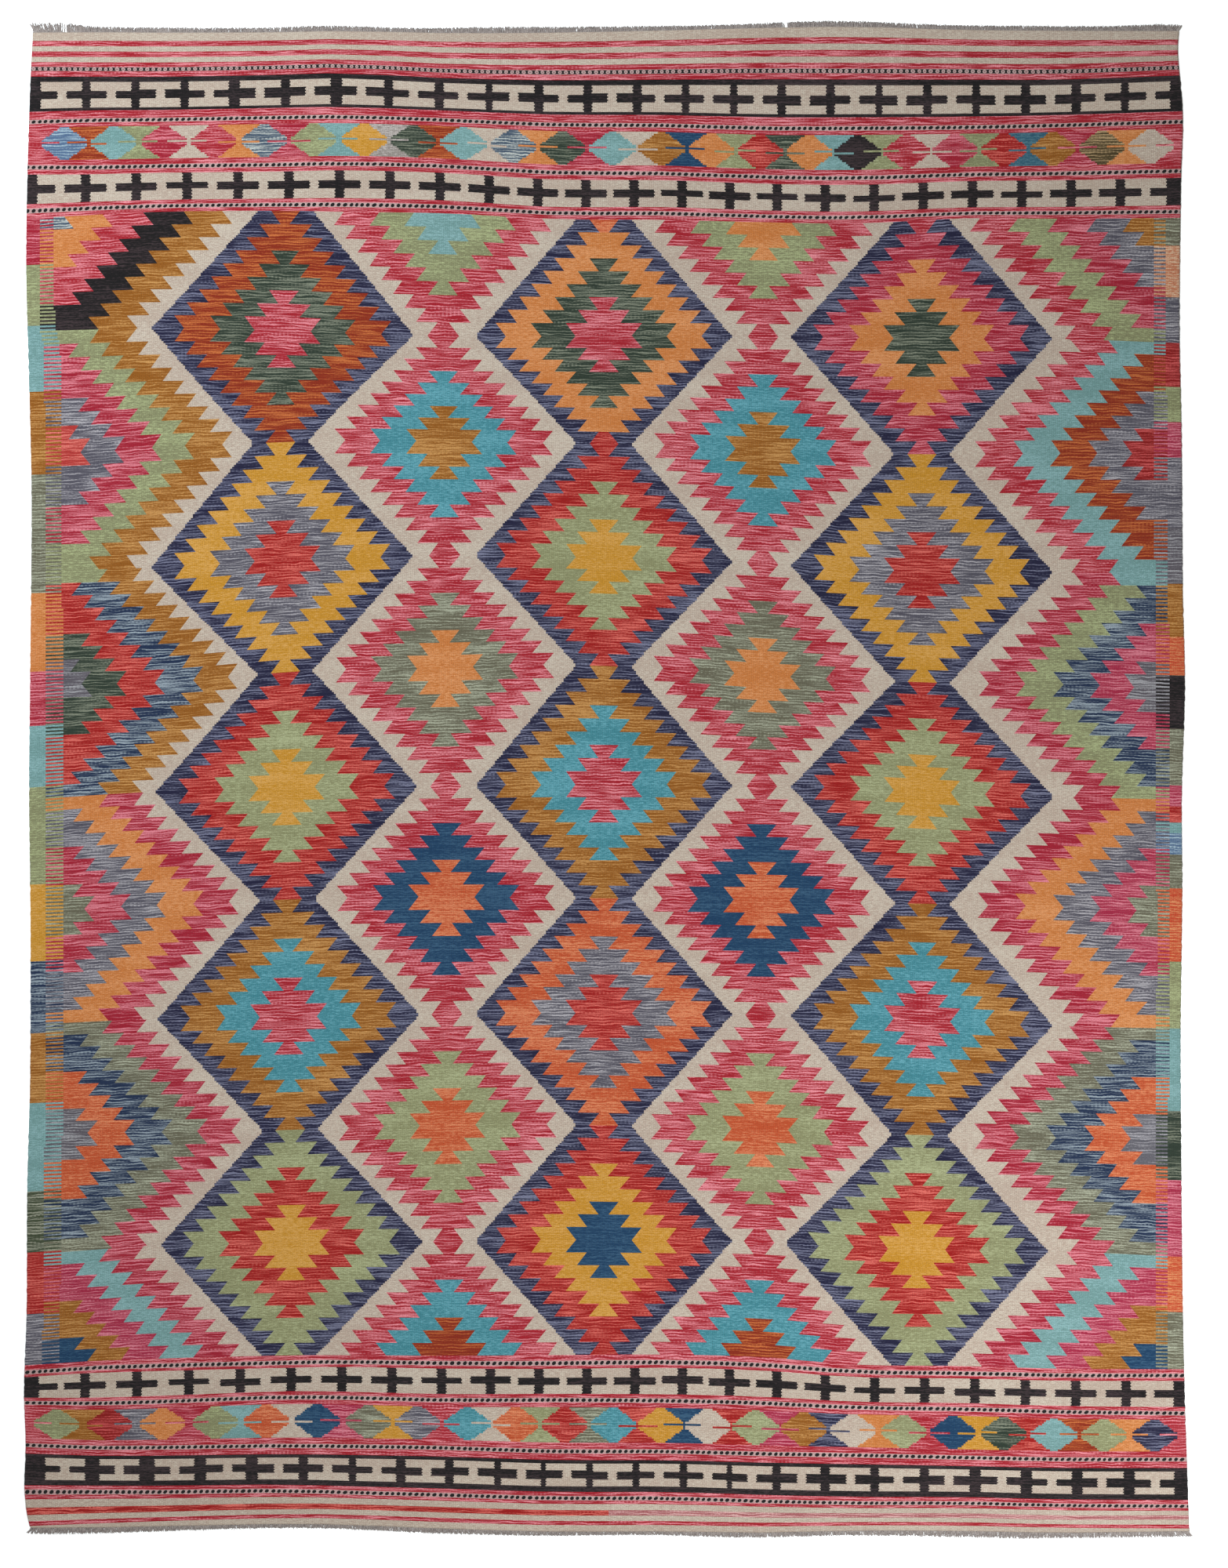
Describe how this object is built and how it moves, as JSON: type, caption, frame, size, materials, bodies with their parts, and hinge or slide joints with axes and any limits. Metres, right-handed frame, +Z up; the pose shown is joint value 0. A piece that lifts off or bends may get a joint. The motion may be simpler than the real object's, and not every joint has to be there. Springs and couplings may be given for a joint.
{
  "type": "kilim rug",
  "caption": "Flat rectangular tapestry-woven wool rug with stepped diamond field, striped and figured end borders, and short clipped fringe along both ends.",
  "frame": {"origin": "on the floor plane, under the centre of the rug's bounding box", "axes": "+Y along the rug's length, towards the end with the pale band and three fine pink stripes; +X across its width; +Z up out of its face"},
  "size_m": [2.0263, 2.6409, 0.003],
  "materials": {
    "cloth_wool": "matt ribbed wool in many dyed colours, slightly streaked, woven in stepped tapestry blocks",
    "fringe_wool": "matt undyed grey wool warp ends, clipped short"
  },
  "bodies": {
    "root": {"kilim_cloth": "cloth_wool", "fringe_top": "fringe_wool", "fringe_bottom": "fringe_wool"}
  },
  "joints": []
}
